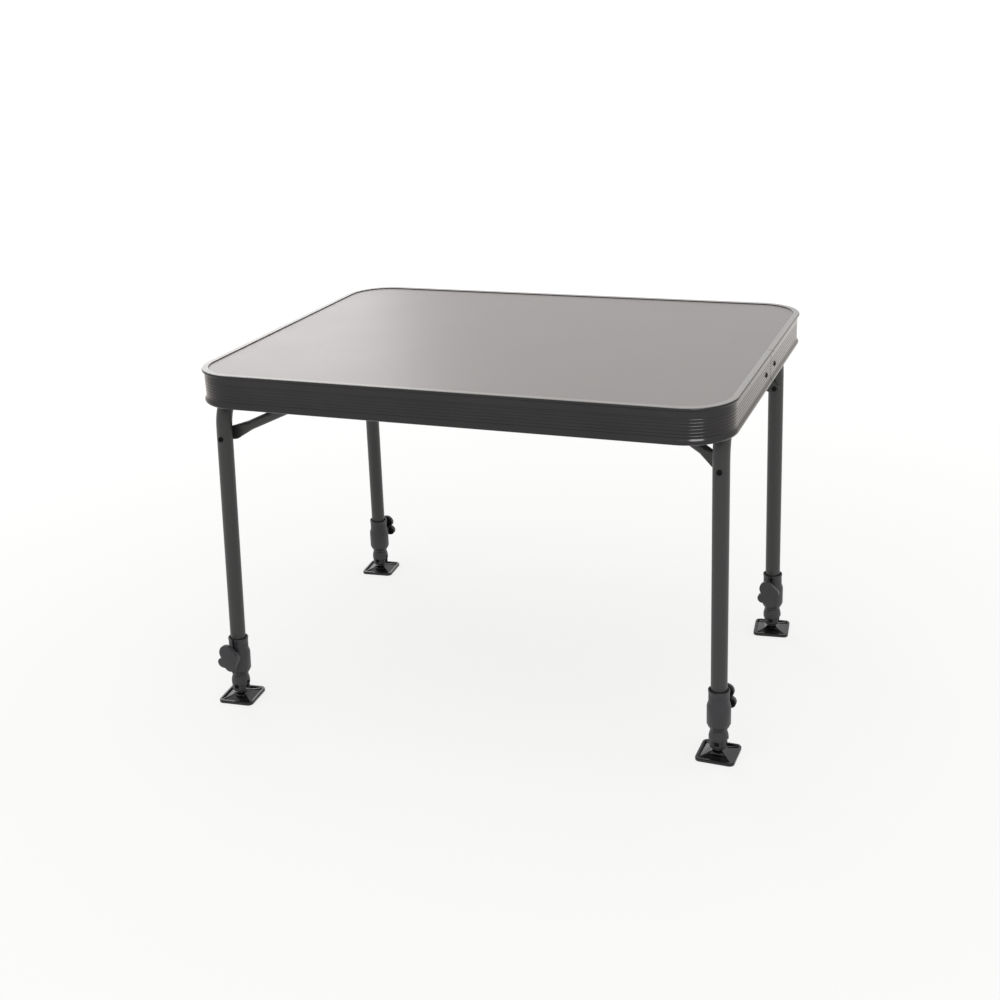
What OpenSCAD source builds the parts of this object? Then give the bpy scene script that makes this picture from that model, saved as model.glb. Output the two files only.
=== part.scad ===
// Folding camping table with two U-shaped leg frames and telescopic legs.
// Millimetres, +Z up, X along the long side. The origin is on the floor in the
// middle of the footprint. The table stands open with its legs pushed in.

/* [Table top] */
// Length of the table over the edge rail
table_l = 800; // [760:1:900]
// Width of the table over the edge rail
table_w = 600; // [590:1:680]
// Height of the table with the legs pushed in
table_h = 550; // [530:1:600]
// Outer corner radius of the edge rail in plan
corner_r = 70; // [60:1:80]
// Thickness of the board
board_t = 9; // [7:0.5:10]
// Gap between the board's edge and the rail's wall
board_gap = 0.3; // [0.2:0.1:0.6]

/* [Edge rail] */
// Height of the rail
rail_h = 51; // [49:0.5:54]
// Wall of the extrusion
rail_wall = 2; // [1.6:0.1:2.4]
// Thickness of the top lip, which stands proud of the board
lip_t = 1.6; // [1.2:0.1:2]
// Width of the top lip over the board
lip_w = 10; // [8:0.5:13]
// Radius of the lip's rounded nose
nose_r = 2.5; // [2:0.1:3]
// How far the wall stands back from the nose
wall_back = 4; // [3:0.1:4.5]
// Height of the plain band below the nose
band_h = 11; // [9:0.5:12]
// How far the plain band stands out from the wall
band_proud = 1; // [0.5:0.1:1.4]
// Number of ridges along the wall
ridge_count = 6; // [4:1:6]
// Distance from one ridge to the next
ridge_pitch = 4.5; // [4:0.1:4.6]
// Height of the lowest ridge above the lower edge
ridge_start = 11.5; // [11:0.5:12.5]
// Radius of a ridge
ridge_r = 1.1; // [0.8:0.1:1.4]
// Radius of the flared bead along the lower edge
bead_r = 4; // [3.5:0.1:4.5]
// Height at which the flare of the bead begins
flare_h = 9.5; // [8.5:0.1:10]
// Width of the shelf under the board
shelf_w = 12; // [8:0.5:14]

/* [Rail joint] */
// Gap of the joint in the right short side
joint_gap = 0.8; // [0.3:0.1:1.2]
// Distance of the joint from the middle of the side, towards the rear
joint_shift = 6; // [0:1:12]
// Length of the splice plate behind the joint
splice_l = 96; // [80:1:120]
// Height of the splice plate
splice_h = 26; // [20:1:27]
// Thickness of the splice plate
splice_t = 3; // [2:0.5:4]
// Distance of each rivet from the joint
splice_rivet_y = 32; // [20:1:36]
// Height of the rivets above the rail's lower edge
splice_rivet_h = 22; // [22:0.5:23.5]
// Radius of a rivet's shank
splice_rivet_r = 2.05; // [1.6:0.05:2.4]
// Radius of a rivet's head
splice_head_r = 4.4; // [3.8:0.1:5]

/* [Leg frames] */
// Outer diameter of the leg tube
leg_d = 24; // [23:0.1:25]
// Wall of the leg tube
leg_wall = 1.2; // [1:0.1:1.5]
// Bend radius of the leg tube, to its centre line
bend_r = 62; // [55:1:66]
// Height of the cross tube's axis above the rail's lower edge
pivot_rise = 15; // [14.5:0.25:17]
// Distance of the left pivot from the end of the table
left_pivot_inset = 27.3; // [25:0.1:34]
// Distance of the right pivot from the end of the table
right_pivot_inset = 29.3; // [28:0.1:36]
// Distance of the left legs from the side of the table, at the pivot
left_leg_inset = 55.5; // [54:0.5:58]
// Distance of the right legs from the side of the table, at the pivot
right_leg_inset = 97.5; // [96.5:0.5:104]
// Outward lean of the left legs, along the table
left_lean_out = 2.05; // [1:0.05:2.5]
// Outward lean of the right legs, along the table
right_lean_out = 0.7; // [0.3:0.05:1.5]
// Sideways lean of the left legs
left_lean_side = 1.95; // [1.7:0.05:2.2]
// Sideways lean of the right legs
right_lean_side = 1.05; // [0.6:0.05:1.1]
// Angle through which each leg frame folds
fold_angle = 83; // [80:1:84]

/* [Saddles] */
// Width of a saddle along the cross tube
saddle_w = 30; // [24:1:36]
// Strap thickness round the cross tube
saddle_strap = 2.4; // [2:0.1:3]
// Radial running clearance of the cross tube
saddle_fit = 0.08; // [0.04:0.01:0.1]
// Reach of a saddle's flange from the pivot
saddle_reach = 38; // [34:1:44]
// Thickness of a saddle's flange
saddle_flange_t = 4; // [3:0.5:5]

/* [Stays] */
// Diameter of the stay tube
stay_d = 15; // [14:0.5:16]
// Wall of the stay tube
stay_wall = 1.2; // [1:0.1:1.4]
// Thickness of the stay's flattened ends
stay_flat_t = 3; // [2.6:0.1:3.4]
// Width of the flattened end at the leg
stay_leg_end_w = 21; // [19:0.5:22]
// Radius of the flattened end's tip at the leg
stay_tip_r = 8; // [7.5:0.1:9]
// Length of the flattened end from the leg's rivet
stay_leg_flat = 14; // [12:0.5:18]
// Length of the flattened end from the slide pin
stay_pin_flat = 11; // [10:0.5:14]
// Length of the taper from a flattened end to the round tube
stay_taper_l = 20; // [16:1:26]
// Width of the flattened end at the guide
stay_pin_end_w = 18; // [16:0.5:19]
// Distance of the stay's rivet from the cross tube's axis
stay_rivet_drop = 77; // [74:0.5:84]
// Angle of the left stays above level, table open
left_stay_angle = 24.5; // [23:0.5:28]
// Angle of the right stays above level, table open
right_stay_angle = 33.5; // [31:0.5:36]
// Depth of the slide pins below the board
pin_depth = 11.4; // [10.8:0.1:12]
// Radius of the slide pins and of the stay rivets
pin_r = 3; // [2.5:0.1:3.2]
// Radial running clearance of a stay on its rivet
rivet_fit = 0.08; // [0.04:0.01:0.1]
// Thickness of the washer between leg and stay
washer_t = 1.5; // [1.2:0.1:3]

/* [Guides] */
// Sheet thickness of a guide
guide_t = 2.5; // [2:0.1:2.8]
// Clearance round a slide pin in its slot, and beside the guide
slide_gap = 0.3; // [0.25:0.05:0.4]
// Metal left round the slot
guide_edge = 5.5; // [4.5:0.5:6]
// Width of a guide's flange on the board
guide_flange_w = 16; // [14:0.5:20]

/* [Telescopic legs] */
// Radial gap between leg tube and inner tube
tube_gap = 0.3; // [0.25:0.05:0.4]
// Wall of the inner tube
inner_wall = 1.2; // [1:0.1:1.6]
// Length of the inner tube
inner_l = 270; // [250:1:330]
// Travel of the inner tube
leg_travel = 160; // [100:1:170]

/* [Clamp collars] */
// Height of the collar's lower end
collar_low = 41.5; // [41.5:0.5:44]
// Height of the collar's rim
collar_high = 106; // [104:0.5:112]
// Height of the leg tube's lower end in the collar
tube_end_h = 52; // [50:0.5:56]
// Wall of the collar's thick part
collar_wall = 5.5; // [5:0.1:6.5]
// Wall of the collar's slim part
collar_slim = 3.2; // [2.8:0.05:3.8]
// Clearance of the collar on the leg tube
collar_fit = 0.05; // [0.02:0.01:0.08]
// Width of the clamping slit
slit_w = 2.4; // [1.6:0.1:3.2]
// Height of the lock bolt
bolt_h = 76; // [73:0.5:78]
// Radius of the lock bolt
bolt_r = 3; // [2.5:0.1:3.2]
// Radius of the boss round the lock bolt
boss_r = 9.5; // [8.5:0.1:10]
// Reach of the boss from the leg's axis
boss_reach = 24.5; // [22:0.5:26]

/* [Lock knobs] */
// Depth of a knob at its middle
knob_t = 9.5; // [8:0.5:11]
// Radius of the knob's domed face
knob_dome_r = 90; // [70:5:120]
// Wall of the hollow knob
knob_wall = 2.2; // [1.6:0.1:2.8]
// Gap between boss and knob
knob_gap = 0.4; // [0.2:0.1:0.8]
// Thickness of the rib inside a knob
knob_rib_t = 1.6; // [1.2:0.1:2.4]
// Angle through which a knob turns to release its leg
knob_turn = 90; // [60:5:120]

/* [Feet] */
// Side of a foot plate
foot_l = 58; // [54:0.5:60]
// Corner radius of a foot plate
foot_corner = 8; // [5:0.5:12]
// Height of a foot plate's rim
foot_rim_h = 5; // [4:0.5:5.5]
// Height of the ball's centre above the floor
ball_h = 23; // [22.5:0.25:24]
// Radius of the ball
ball_r = 9; // [8.5:0.1:9.2]
// Clearance round the ball
ball_gap = 0.3; // [0.2:0.05:0.4]
// Radius of the foot socket
socket_r = 14.5; // [14:0.1:15.5]
// Width of the gap between the socket's two fingers
finger_gap = 8; // [6:0.5:10]
// Height of the socket's lower rim
socket_low = 14.5; // [14.3:0.1:15]
// Height of the socket's top
socket_high = 41; // [39:0.5:41]
// Height of the inner tube's lower end in the socket
socket_seat = 34; // [33.5:0.5:35]
// Tilt of a foot plate each way
foot_tilt = 15; // [8:1:15]
// Height of the cone under the ball
cone_h = 11; // [10:0.25:11.5]
// Radius of the neck under the ball
neck_r = 5.2; // [4.5:0.1:5.6]
// Turn of the foot plates: left front, left rear, right front, right rear
foot_turns = [5, 5, -1.4, 6];

/* [Hidden] */
$fn = 72;
eps = 0.01;
LEFT = 0;
RIGHT = 1;
FRONT = -1;
REAR = 1;

// Places that follow from the sizes above.
rail_low = table_h - rail_h;
board_low = table_h - lip_t - board_t;
pivot_z = rail_low + pivot_rise;
wall_in = wall_back + rail_wall;
board_in = wall_in + board_gap;
leg_r = leg_d / 2;
pivot_x = [table_l / 2 - left_pivot_inset, table_l / 2 - right_pivot_inset];
leg_y = [table_w / 2 - left_leg_inset, table_w / 2 - right_leg_inset];
lean_out = [left_lean_out, right_lean_out];
lean_side = [left_lean_side, right_lean_side];
stay_angle_open = [left_stay_angle, right_stay_angle];

function side_sign(f) = f == LEFT ? -1 : 1;
function plane_l(f) = pivot_z / cos(lean_out[f]);
function leg_len(f) = plane_l(f) / cos(lean_side[f]);
function floor_x(f) = pivot_x[f] + pivot_z * tan(lean_out[f]);
function floor_y(f) = leg_y[f] + plane_l(f) * tan(lean_side[f]);
function foot_turn(f, s) = foot_turns[2 * f + (s == REAR ? 1 : 0)];
function ball_along(f) = ball_h / (cos(lean_out[f]) * cos(lean_side[f]));
function ball_x(f) = floor_x(f) - ball_along(f) * cos(lean_side[f]) * sin(lean_out[f]);
function ball_y(f) = floor_y(f) - ball_along(f) * sin(lean_side[f]);

// The footprint's middle is the origin, so the table top stands beside it.
function plate_reach(turn) = (foot_l / 2 - foot_corner) * (cos(turn) + sin(abs(turn))) + foot_corner;
function end_reach(f) = max(table_l / 2,
    ball_x(f) + max(plate_reach(foot_turn(f, FRONT)), plate_reach(foot_turn(f, REAR))));
top_x = (end_reach(LEFT) - end_reach(RIGHT)) / 2;

// Bends of the leg tube: tangent length and half length of the straight cross tube.
function bend_tangent(f) = bend_r * tan((90 - lean_side[f]) / 2);
function cross_half(f) = leg_y[f] - bend_tangent(f);

// Stay and slide pin, seen along Y from the pivot, with x towards the table's middle.
pin_rise = board_low - pin_depth - pivot_z;
function stay_l(f) = (pin_rise + stay_rivet_drop * cos(lean_out[f])) / sin(stay_angle_open[f]);
function stay_angle_folded(f) =
    asin((pin_rise + stay_rivet_drop * cos(fold_angle - lean_out[f])) / stay_l(f));
function stay_angle(f, fold) =
    stay_angle_open[f] + (stay_angle_folded(f) - stay_angle_open[f]) * fold / fold_angle;
function pin_at(f, fold) = [
    stay_rivet_drop * sin(fold - lean_out[f]) + stay_l(f) * cos(stay_angle(f, fold)),
    -stay_rivet_drop * cos(fold - lean_out[f]) + stay_l(f) * sin(stay_angle(f, fold))];
function rivet_y(f) = leg_y[f] + stay_rivet_drop * tan(lean_side[f]);
play = 0.15;
function stay_face_y(f) = rivet_y(f) - leg_r - washer_t - play;

// Slot of a guide: the pin's own path, offset to each side.
slot_steps = 24;
slot_r = pin_r + slide_gap;
function path_normal(f, fold) =
    let (a = pin_at(f, fold - 0.5), b = pin_at(f, fold + 0.5), d = b - a)
    [-d[1], d[0]] / norm(d);
function path_side(f, off) = [for (i = [0:slot_steps])
    let (fold = fold_angle * i / slot_steps) pin_at(f, fold) + off * path_normal(f, fold)];
function backwards(list) = [for (i = [len(list) - 1:-1:0]) list[i]];

// Rivet heads on the leg tubes.
rivet_head_t = 1.8;
rivet_head_r = 3.9;

// Splice plate and its rivets.
splice_corner = 4;
splice_tail_l = 4;

// Fasteners into the board.
screw_r = 1.75;
screw_head_r = 3.6;
screw_head_t = 2.2;
screw_bite = 6.5;
hole_play = 0.05;
saddle_top = board_low - pivot_z;
saddle_screw_x = saddle_reach - 8;
saddle_screw_y = saddle_w / 2 - 6;
function saddle_y(f) = cross_half(f) - saddle_w / 2 - 5;
function guide_x0(f) = pin_at(f, 0)[0] - slot_r - guide_edge;
function guide_x1(f) = pin_at(f, fold_angle)[0] + slot_r + guide_edge;
function guide_y(f) = stay_face_y(f) + slide_gap;
function guide_screws_at(f) = [for (i = [0:2])
    [guide_x0(f) + 9 + i * (guide_x1(f) - guide_x0(f) - 18) / 2,
     guide_y(f) + guide_t + (guide_flange_w - guide_t) / 2]];

// Laps that let curved pieces join cleanly.
bend_lap = 0.5;
bend_swell = 0.05;
tuck = 0.02;
taper_lap = 0.1;

// Radii round the leg's axis.
inner_r = leg_r - leg_wall - tube_gap;
collar_r = leg_r + collar_wall;
slim_r = leg_r + collar_slim;
collar_bore_r = leg_r + collar_fit;
knob_back = boss_reach + knob_gap;
knob_front = knob_back + knob_t;

// Colours as the photo shows them.
laminate = [0.66, 0.64, 0.63];
dark_aluminium = [0.24, 0.24, 0.25];
rail_grey = [0.3, 0.3, 0.3];
moulding = [0.2, 0.19, 0.21];
black_foot = [0.12, 0.12, 0.12];
steel = [0.45, 0.45, 0.46];

function leg_name(f, s) =
    str(f == LEFT ? "left" : "right", s == FRONT ? "_front" : "_rear");
function four(kind) = [for (f = [LEFT, RIGHT], s = [FRONT, REAR]) str(leg_name(f, s), kind)];

// Puts a piece of a leg frame in place: x from the pivot towards the table's
// middle, y outwards from the table's centre line, z up from the pivot.
module at_pivot(f, s = REAR) {
    mirror([side_sign(f) > 0 ? 1 : 0, 0, 0])
        mirror([0, s == FRONT ? 1 : 0, 0])
            translate([-pivot_x[f] - side_sign(f) * top_x, 0, pivot_z])
                children();
}

// Leans a leg frame outwards about its pivot.
module leaned(f) {
    rotate([0, lean_out[f], 0]) children();
}

// Puts a piece on a leg: z up along the leg's axis from the floor.
module on_leg(f, s) {
    translate([top_x + side_sign(f) * floor_x(f), s * floor_y(f), 0])
        rotate([s * lean_side[f], -side_sign(f) * lean_out[f], 0])
            children();
}

// Turns a piece so that its +Y is the side of the lock knob: outwards on the
// wide left frame, inwards on the narrow right one.
module knob_side(f, s) {
    rotate([0, 0, (f == LEFT ? s : -s) > 0 ? 0 : 180]) children();
}

module along_y(y0, y1) {
    translate([0, y1, 0]) rotate([90, 0, 0]) linear_extrude(y1 - y0) children();
}

module rod_y(y0, y1, r) {
    translate([0, y0, 0]) rotate([-90, 0, 0]) cylinder(h = y1 - y0, r = r);
}

module rounded_rect(l, w, r) {
    square([l - 2 * r, w], center = true);
    square([l, w - 2 * r], center = true);
    for (x = [-1, 1], y = [-1, 1])
        translate([x * (l / 2 - r), y * (w / 2 - r)]) circle(r);
}

// Outline round two discs, with their common tangents.
module capsule(p0, r0, p1, r1) {
    d = p1 - p0;
    a = acos((r0 - r1) / norm(d));
    heading = atan2(d[1], d[0]);
    translate(p0) circle(r0);
    translate(p1) circle(r1);
    polygon([for (q = [[p0, r0, -a], [p1, r1, -a], [p1, r1, a], [p0, r0, a]])
        q[0] + (q[1] - tuck) * [cos(heading + q[2]), sin(heading + q[2])]]);
}

// Section of the edge rail: x outwards from the nose, y up from the lower edge.
module rail_section() {
    shelf_y = rail_h - lip_t - board_t - rail_wall;
    bead_x = -bead_r - 0.2;
    to_wall = [-wall_back - bead_x, flare_h - bead_r];
    touch = atan2(to_wall[1], to_wall[0]) - acos(bead_r / norm(to_wall));
    foot = [bead_x, bead_r] + (bead_r - tuck) * [cos(touch), sin(touch)];
    difference() {
        union() {
            translate([-wall_in, bead_r]) square([rail_wall, rail_h - bead_r - lip_t / 2]);
            translate([-lip_w, rail_h - lip_t]) square([lip_w - nose_r, lip_t]);
            translate([-nose_r, rail_h - nose_r]) circle(nose_r);
            translate([-wall_in, rail_h - nose_r - band_h - 1.5])
                square([rail_wall + band_proud, band_h + 1.5]);
            for (i = [0:ridge_count - 1])
                translate([-wall_back, ridge_start + i * ridge_pitch]) circle(ridge_r, $fn = 24);
            translate([bead_x, bead_r]) circle(bead_r);
            polygon([[-wall_in, bead_r], [bead_x, bead_r], foot, [-wall_back, flare_h],
                [-wall_in, flare_h]]);
            translate([-wall_in - shelf_w, shelf_y]) square([shelf_w + rail_wall / 2, rail_wall]);
        }
        translate([bead_x, bead_r]) circle(bead_r - rail_wall, $fn = 32);
    }
}

module rail_side(half_gap_l) {
    rotate([90, 0, 0]) translate([0, 0, -half_gap_l]) linear_extrude(2 * half_gap_l) rail_section();
}

module edge_rail() {
    straight_x = table_l / 2 - corner_r;
    straight_y = table_w / 2 - corner_r;
    color(rail_grey) difference() {
        translate([top_x, 0, rail_low]) {
            for (k = [0, 1]) rotate([0, 0, 180 * k]) {
                translate([table_l / 2, 0, 0]) rail_side(straight_y);
                rotate([0, 0, 90]) translate([table_w / 2, 0, 0]) rail_side(straight_x);
                translate([straight_x, straight_y, 0])
                    rotate_extrude(angle = 90) translate([corner_r, 0]) rail_section();
                translate([-straight_x, straight_y, 0]) rotate([0, 0, 90])
                    rotate_extrude(angle = 90) translate([corner_r, 0]) rail_section();
            }
        }
        translate([top_x + table_l / 2 - 2 * shelf_w, joint_shift - joint_gap / 2, rail_low - 1])
            cube([3 * shelf_w, joint_gap, rail_h + 2]);
        splice_holes();
    }
}

// A place on the rail's right side, y from the joint, z outwards from the nose.
module at_joint(y) {
    translate([top_x + table_l / 2, joint_shift + y, rail_low + splice_rivet_h])
        rotate([0, 90, 0]) children();
}

module splice_holes() {
    for (s = [FRONT, REAR])
        at_joint(s * splice_rivet_y) translate([0, 0, -2 * wall_in])
            cylinder(h = 3 * wall_in, r = splice_rivet_r + hole_play);
}

module rail_splice() {
    color(steel) difference() {
        at_joint(0) translate([0, 0, -wall_in - splice_t])
            linear_extrude(splice_t) rounded_rect(splice_h, splice_l, splice_corner);
        splice_holes();
    }
}

module splice_rivets() {
    grip = wall_in - wall_back + ridge_r + splice_t;
    color(black_foot) for (s = [FRONT, REAR])
        at_joint(s * splice_rivet_y) translate([0, 0, ridge_r - wall_back]) {
            intersection() {
                translate([0, 0, -splice_head_r]) sphere(splice_head_r * sqrt(2));
                cylinder(h = splice_head_r, r = 2 * splice_head_r);
            }
            translate([0, 0, -grip - eps]) cylinder(h = grip + 2 * eps, r = splice_rivet_r);
            translate([0, 0, -grip - splice_tail_l]) cylinder(h = splice_tail_l, r = splice_rivet_r + 0.9);
        }
}

module table_board() {
    color(laminate) difference() {
        translate([top_x, 0, board_low]) linear_extrude(board_t)
            rounded_rect(table_l - 2 * board_in, table_w - 2 * board_in, corner_r - board_in);
        for (f = [LEFT, RIGHT], s = [FRONT, REAR]) at_pivot(f, s) {
            saddle_screws_at(f) board_hole();
            guide_screws_place(f) board_hole();
        }
    }
}

// A pilot hole, from the board's lower face upwards.
module board_hole() {
    translate([0, 0, -1]) cylinder(h = screw_bite + 1.3, r = screw_r + hole_play, $fn = 24);
}

module saddle_screws_at(f) {
    for (y = [-1, 1])
        translate([saddle_screw_x, saddle_y(f) + y * saddle_screw_y, saddle_top]) children();
}

module guide_screws_place(f) {
    for (p = guide_screws_at(f)) translate([p[0], p[1], saddle_top]) children();
}

// A pan-head screw: its head lies under a flange of the given thickness.
module board_screw(flange_t) {
    translate([0, 0, -flange_t]) {
        cylinder(h = flange_t + screw_bite, r = screw_r, $fn = 24);
        translate([0, 0, -screw_head_t]) difference() {
            union() {
                cylinder(h = 0.8, r1 = screw_head_r - 0.8, r2 = screw_head_r, $fn = 32);
                translate([0, 0, 0.8]) cylinder(h = screw_head_t - 0.8, r = screw_head_r, $fn = 32);
            }
            for (a = [0, 90]) rotate([0, 0, a]) cube([4, 0.8, 2.4], center = true);
        }
    }
}

module saddle_screws() {
    color(steel) for (f = [LEFT, RIGHT], s = [FRONT, REAR]) at_pivot(f, s)
        saddle_screws_at(f) board_screw(saddle_flange_t);
}

module guide_screws() {
    color(steel) for (f = [LEFT, RIGHT], s = [FRONT, REAR]) at_pivot(f, s)
        guide_screws_place(f) board_screw(guide_t);
}

// Bearing block that holds the cross tube under the board. Its back stays
// clear of the rail's shelf.
module saddle(f, s) {
    bore = leg_r + saddle_fit;
    back = (f == LEFT ? left_pivot_inset : right_pivot_inset) - wall_in - shelf_w - 0.5;
    front = bore + saddle_strap;
    color(moulding) at_pivot(f, s) difference() {
        along_y(saddle_y(f) - saddle_w / 2, saddle_y(f) + saddle_w / 2) difference() {
            union() {
                circle(front);
                translate([-back, 0]) square([back + front, saddle_top]);
                translate([0, saddle_top - saddle_flange_t])
                    square([saddle_reach, saddle_flange_t]);
            }
            circle(bore);
        }
        saddle_screws_at(f) translate([0, 0, -saddle_flange_t - 1])
            cylinder(h = saddle_flange_t + 2, r = screw_r + hole_play, $fn = 24);
    }
}

// Outline of a guide's web: the slot's path, widened, and hung from the board.
module guide_outline(f) {
    edge = slot_r + guide_edge;
    path = path_side(f, -edge);
    p0 = pin_at(f, 0);
    p1 = pin_at(f, fold_angle);
    polygon(concat(path, [[p1[0], saddle_top], [p0[0], saddle_top]]));
    for (p = [p0, p1]) {
        translate(p) circle(edge);
        translate([p[0] - edge, p[1]]) square([2 * edge, saddle_top - p[1]]);
    }
}

module guide_slot(f) {
    polygon(concat(path_side(f, -slot_r), backwards(path_side(f, slot_r))));
    for (fold = [0, fold_angle]) translate(pin_at(f, fold)) circle(slot_r);
}

module guide(f, s) {
    y0 = guide_y(f);
    color(steel) at_pivot(f, s) difference() {
        union() {
            along_y(y0, y0 + guide_t) guide_outline(f);
            translate([guide_x0(f), y0, saddle_top - guide_t])
                cube([guide_x1(f) - guide_x0(f), guide_flange_w, guide_t]);
        }
        along_y(y0 - 1, y0 + guide_t + 1) guide_slot(f);
        guide_screws_place(f) translate([0, 0, -guide_t - 1])
            cylinder(h = guide_t + 2, r = screw_r + hole_play, $fn = 24);
    }
}

// A U-shaped rod in its own plane, y outwards and z up: cross rod, bends and
// legs. Each straight runs a little way into its bend, which is a hair thicker.
module u_rod(f, r, extra) {
    a = lean_side[f];
    half = cross_half(f);
    straight = leg_len(f) - bend_tangent(f) - tube_end_h;
    rod_y(-half - bend_lap, half + bend_lap, r);
    for (m = [0, 1]) mirror([0, m, 0]) translate([0, half, -bend_r]) {
        rotate([90, 0, 90]) rotate([0, 0, a])
            rotate_extrude(angle = 90 - a) translate([bend_r, 0]) circle(r + bend_swell);
        rotate([a, 0, 0]) translate([0, bend_r, -straight - extra])
            cylinder(h = straight + extra + bend_lap, r = r);
    }
}

module leg_frame(f) {
    color(dark_aluminium) difference() {
        at_pivot(f) leaned(f) difference() {
            u_rod(f, leg_r, 0);
            u_rod(f, leg_r - leg_wall, 1);
        }
        for (s = [FRONT, REAR]) {
            at_pivot(f, s) leaned(f) translate([0, 0, -stay_rivet_drop])
                rod_y(rivet_y(f) - 20, rivet_y(f) + 20, pin_r + hole_play);
            on_leg(f, s) knob_side(f, s) translate([0, 0, bolt_h])
                rod_y(0, 20, bolt_r + 1);
        }
    }
}

// Rivets that hold the stays to one leg frame, each with its shoulder washer.
module stay_rivets(f) {
    y_out = rivet_y(f) + leg_r;
    y_in = stay_face_y(f) - stay_flat_t - play;
    color(black_foot) for (s = [FRONT, REAR]) at_pivot(f, s) leaned(f)
        translate([0, 0, -stay_rivet_drop]) {
            rod_y(y_in - rivet_head_t, y_out + 0.4, pin_r);
            rod_y(y_in - rivet_head_t, y_in, rivet_head_r);
            difference() {
                union() {
                    rod_y(y_out - 1, y_out + rivet_head_t, rivet_head_r);
                    rod_y(stay_face_y(f) + play, rivet_y(f) - leg_r + 2, 2 * pin_r);
                }
                translate([0, rivet_y(f), 0]) rotate([lean_side[f], 0, 0])
                    translate([0, 0, -30]) cylinder(h = 60, r = leg_r + hole_play);
                rod_y(y_out + 0.7, y_out + rivet_head_t + 1, rivet_head_r - 2.6);
            }
        }
}

// Puts a stay or its pin in place: x along the stay from the rivet, y outwards
// from the stay's outer face.
module at_stay(f, s) {
    at_pivot(f, s)
        translate([-stay_rivet_drop * sin(lean_out[f]), stay_face_y(f), -stay_rivet_drop * cos(lean_out[f])])
            rotate([0, -stay_angle_open[f], 0]) children();
}

module flattened_end(tip_r, w, l) {
    along_y(-stay_flat_t, 0) {
        circle(tip_r);
        polygon([[0, tuck - tip_r], [tip_r, -w / 2], [l, -w / 2], [l, w / 2], [tip_r, w / 2], [0, tip_r - tuck]]);
    }
}

module stay(f, s) {
    l = stay_l(f);
    round0 = stay_leg_flat + stay_taper_l;
    round1 = l - stay_pin_flat - stay_taper_l;
    color(dark_aluminium) at_stay(f, s) difference() {
        union() {
            flattened_end(stay_tip_r, stay_leg_end_w, stay_leg_flat);
            translate([l, 0, 0]) mirror([1, 0, 0])
                flattened_end(stay_pin_end_w / 2, stay_pin_end_w, stay_pin_flat);
            stay_taper(stay_leg_end_w, stay_leg_flat, round0);
            stay_taper(stay_pin_end_w, l - stay_pin_flat, round1);
            translate([round0, -stay_d / 2, 0]) rotate([0, 90, 0])
                cylinder(h = round1 - round0, r = stay_d / 2);
        }
        rod_y(-stay_flat_t - 1, 1, pin_r + rivet_fit);
        translate([l, 0, 0]) rod_y(-stay_flat_t - 1, 1, pin_r + hole_play);
    }
}

// Loft from a flattened end to the round tube. It starts inside the flat end and
// closes round the tube.
module stay_taper(w, x_flat, x_round) {
    way = x_flat < x_round ? 1 : -1;
    hull($fn = 48) {
        translate([x_flat - way, -stay_flat_t + taper_lap, -w / 2 + taper_lap])
            cube([eps, stay_flat_t - 2 * taper_lap, w - 2 * taper_lap]);
        translate([x_round + 2 * way, -stay_d / 2, 0]) rotate([0, 90, 0])
            cylinder(h = eps, r = stay_d / 2 + taper_lap);
    }
}

module slide_pin(f, s) {
    out = guide_t + 2 * slide_gap;
    color(steel) at_stay(f, s) translate([stay_l(f), 0, 0]) {
        rod_y(-stay_flat_t, out, pin_r);
        rod_y(-stay_flat_t - 2, -stay_flat_t, pin_r + 2.4);
        rod_y(out, out + 1.8, pin_r + 2.8);
    }
}

// Clamp collar: a turned body with a boss and a slit on the knob's side.
module collar(f, s) {
    r_low = inner_r + 2;
    color(moulding) on_leg(f, s) knob_side(f, s) difference() {
        union() {
            rotate_extrude() polygon([
                [inner_r + tube_gap, collar_low], [r_low, collar_low], [r_low + 0.8, collar_low + 3],
                [collar_r - 2.2, collar_low + 6], [collar_r, collar_low + 11], [collar_r, bolt_h + 4],
                [collar_r - 0.5, bolt_h + 6], [slim_r + 0.5, bolt_h + 10], [slim_r, bolt_h + 12],
                [slim_r, bolt_h + 20.2], [slim_r - 0.4, bolt_h + 20.8], [slim_r, bolt_h + 21.4],
                [slim_r, collar_high - 6], [slim_r + 0.6, collar_high - 1.5],
                [slim_r + 0.6, collar_high - 0.4], [slim_r + 0.2, collar_high],
                [slim_r - 1.1, collar_high], [collar_bore_r + 0.5, collar_high - 4],
                [collar_bore_r, collar_high - 7], [collar_bore_r, tube_end_h], [inner_r + tube_gap, tube_end_h]]);
            translate([0, 0, bolt_h]) {
                rod_y(leg_r + 1, boss_reach, boss_r);
                along_y(leg_r + 1, collar_r + 1.5) capsule([0, 0], boss_r + 1.5, [0, -20], boss_r - 3);
            }
        }
        cylinder(h = tube_end_h, r = inner_r + tube_gap);
        translate([0, 0, tube_end_h]) cylinder(h = collar_high, r = collar_bore_r);
        translate([-slit_w / 2, leg_r - 2, bolt_h + boss_r]) cube([slit_w, 2 * collar_wall, collar_high]);
        translate([0, 0, bolt_h]) rod_y(0, 2 * boss_reach, bolt_r + rivet_fit);
    }
}

// Outline of a lock knob, drawn in by an inset: x towards its small lobe, y up
// from the bolt.
module knob_outline(inset = 0) {
    capsule([5, 14.5], 11.5 - inset, [-6, 6], 10 - inset);
    capsule([-6, 6], 10 - inset, [-2, -8], 8.8 - inset);
    capsule([11.5, -3.5], 8 - inset, [-3, -3], 9.5 - inset);
}

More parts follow.
